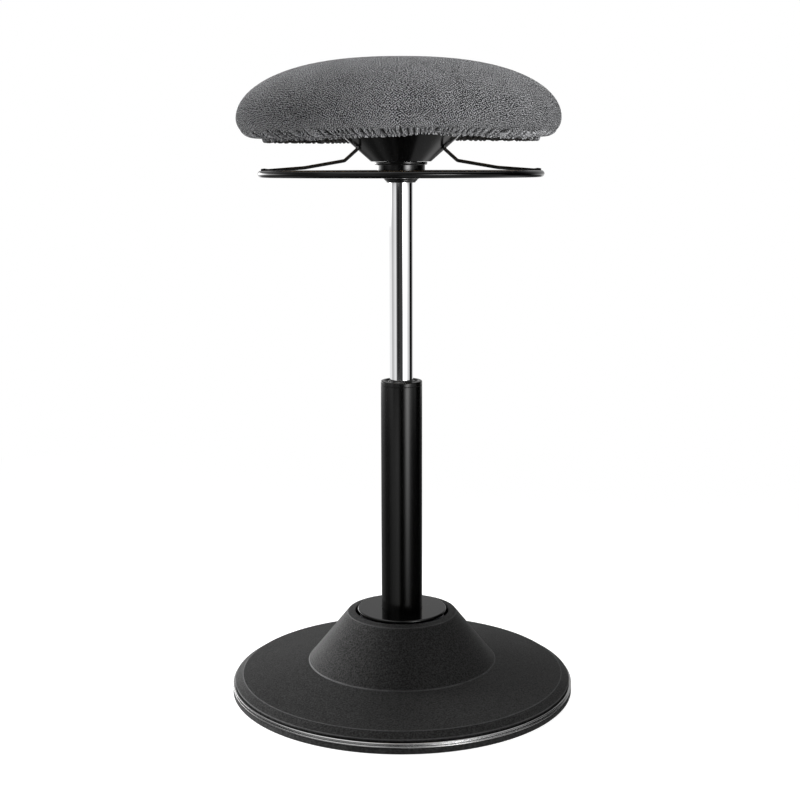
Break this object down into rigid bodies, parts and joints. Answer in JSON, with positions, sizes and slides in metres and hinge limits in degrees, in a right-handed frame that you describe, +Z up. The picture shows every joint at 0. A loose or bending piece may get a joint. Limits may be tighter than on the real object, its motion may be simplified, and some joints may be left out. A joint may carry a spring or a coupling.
{
  "type": "wobble stool",
  "caption": "Height-adjustable wobble stool: padded seat on a gas lift that leans in a rubber pivot in a weighted round base, with a release ring under the seat.",
  "frame": {"origin": "on the floor under the middle of the round base", "axes": "+Z up along the column, +X to the side of the seat, -Y towards the front where the lever wire lies"},
  "size_m": [0.4202, 0.4202, 0.767],
  "materials": {
    "rubber": "matt black moulded rubber",
    "bright_trim": "polished dark bright metal",
    "steel": "plain zinc-plated steel",
    "moulded_black": "fine grained black moulded plastic",
    "gloss_black": "gloss black",
    "painted_black": "satin black powder coat on steel",
    "chrome": "mirror chrome",
    "guide_plastic": "hard black acetal",
    "plywood": "bare birch plywood",
    "foam": "open-cell polyurethane foam",
    "knit": "heathered dark grey stretch knit"
  },
  "bodies": {
    "base": {"base_pad": "rubber", "base_trim_ring": "bright_trim", "ballast_plate": "steel", "base_cover": "moulded_black", "pivot_housing": "steel", "bush_retaining_ring": "steel", "stop_buffer": "rubber", "cover_screw_1": "steel", "cover_screw_2": "steel", "cover_screw_3": "steel", "cover_screw_4": "steel", "housing_bolt_1": "steel", "housing_bolt_2": "steel", "housing_bolt_3": "steel", "housing_bolt_4": "steel", "retainer_screw_1": "steel", "retainer_screw_2": "steel", "retainer_screw_3": "steel"},
    "pivot_bush": {"tilt_bush": "rubber"},
    "column": {"pivot_sleeve": "steel", "pivot_top_plate": "gloss_black", "outer_tube": "painted_black", "guide_bush": "guide_plastic", "thrust_washer_lower": "steel", "thrust_ball_cage": "steel"},
    "swivel": {"thrust_washer_upper": "steel", "bump_stop": "rubber", "piston_rod": "steel", "rod_clip": "steel", "piston": "guide_plastic"},
    "seat": {"pressure_tube": "chrome", "rod_gland": "guide_plastic", "dust_ring": "moulded_black", "hub_socket": "steel", "hub_collar": "gloss_black", "cone_cover": "moulded_black", "seat_bracket": "steel", "axle_bush_left": "guide_plastic", "axle_bush_right": "guide_plastic", "seat_board": "plywood", "seat_foam": "foam", "seat_cover": "knit", "hem_elastic": "rubber", "cone_screw_1": "steel", "cone_screw_2": "steel", "cone_screw_3": "steel", "tee_nut_1": "steel", "tee_nut_2": "steel", "tee_nut_3": "steel", "tee_nut_4": "steel", "seat_screw_1": "steel", "seat_screw_2": "steel", "seat_screw_3": "steel", "seat_screw_4": "steel"},
    "lever": {"release_ring": "gloss_black", "lever_wire": "painted_black", "valve_tongue": "steel"},
    "valve": {"valve_pin": "steel"}
  },
  "joints": [
    {"name": "tilt_fore_aft", "type": "hinge", "parent": "base", "child": "pivot_bush", "pos_m": [0, 0, 0.08], "axis": [1, 0, 0], "range_deg": [-4.5, 4.5], "stiffness_Nm_per_rad": 700},
    {"name": "tilt_sideways", "type": "hinge", "parent": "pivot_bush", "child": "column", "pos_m": [0, 0, 0.08], "axis": [0, 1, 0], "range_deg": [-4.5, 4.5], "stiffness_Nm_per_rad": 700},
    {"name": "seat_swivel", "type": "hinge", "parent": "column", "child": "swivel", "pos_m": [0, 0, 0.036], "axis": [0, 0, 1], "continuous": true},
    {"name": "seat_height", "type": "slide", "parent": "swivel", "child": "seat", "axis": [0, 0, 1], "range_m": [-0.23, 0.014]},
    {"name": "ring_release", "type": "hinge", "parent": "seat", "child": "lever", "pos_m": [0, -0.024, 0.6728], "axis": [-1, 0, 0], "range_deg": [0, 7], "stiffness_Nm_per_rad": 8, "springref_deg": -8.59},
    {"name": "valve_press", "type": "slide", "parent": "seat", "child": "valve", "axis": [0, 0, -1], "range_m": [0, 0.0031]}
  ],
  "couplings": [
    {"joint": "valve_press", "follows": "ring_release", "m_per_rad": 0.0248}
  ]
}
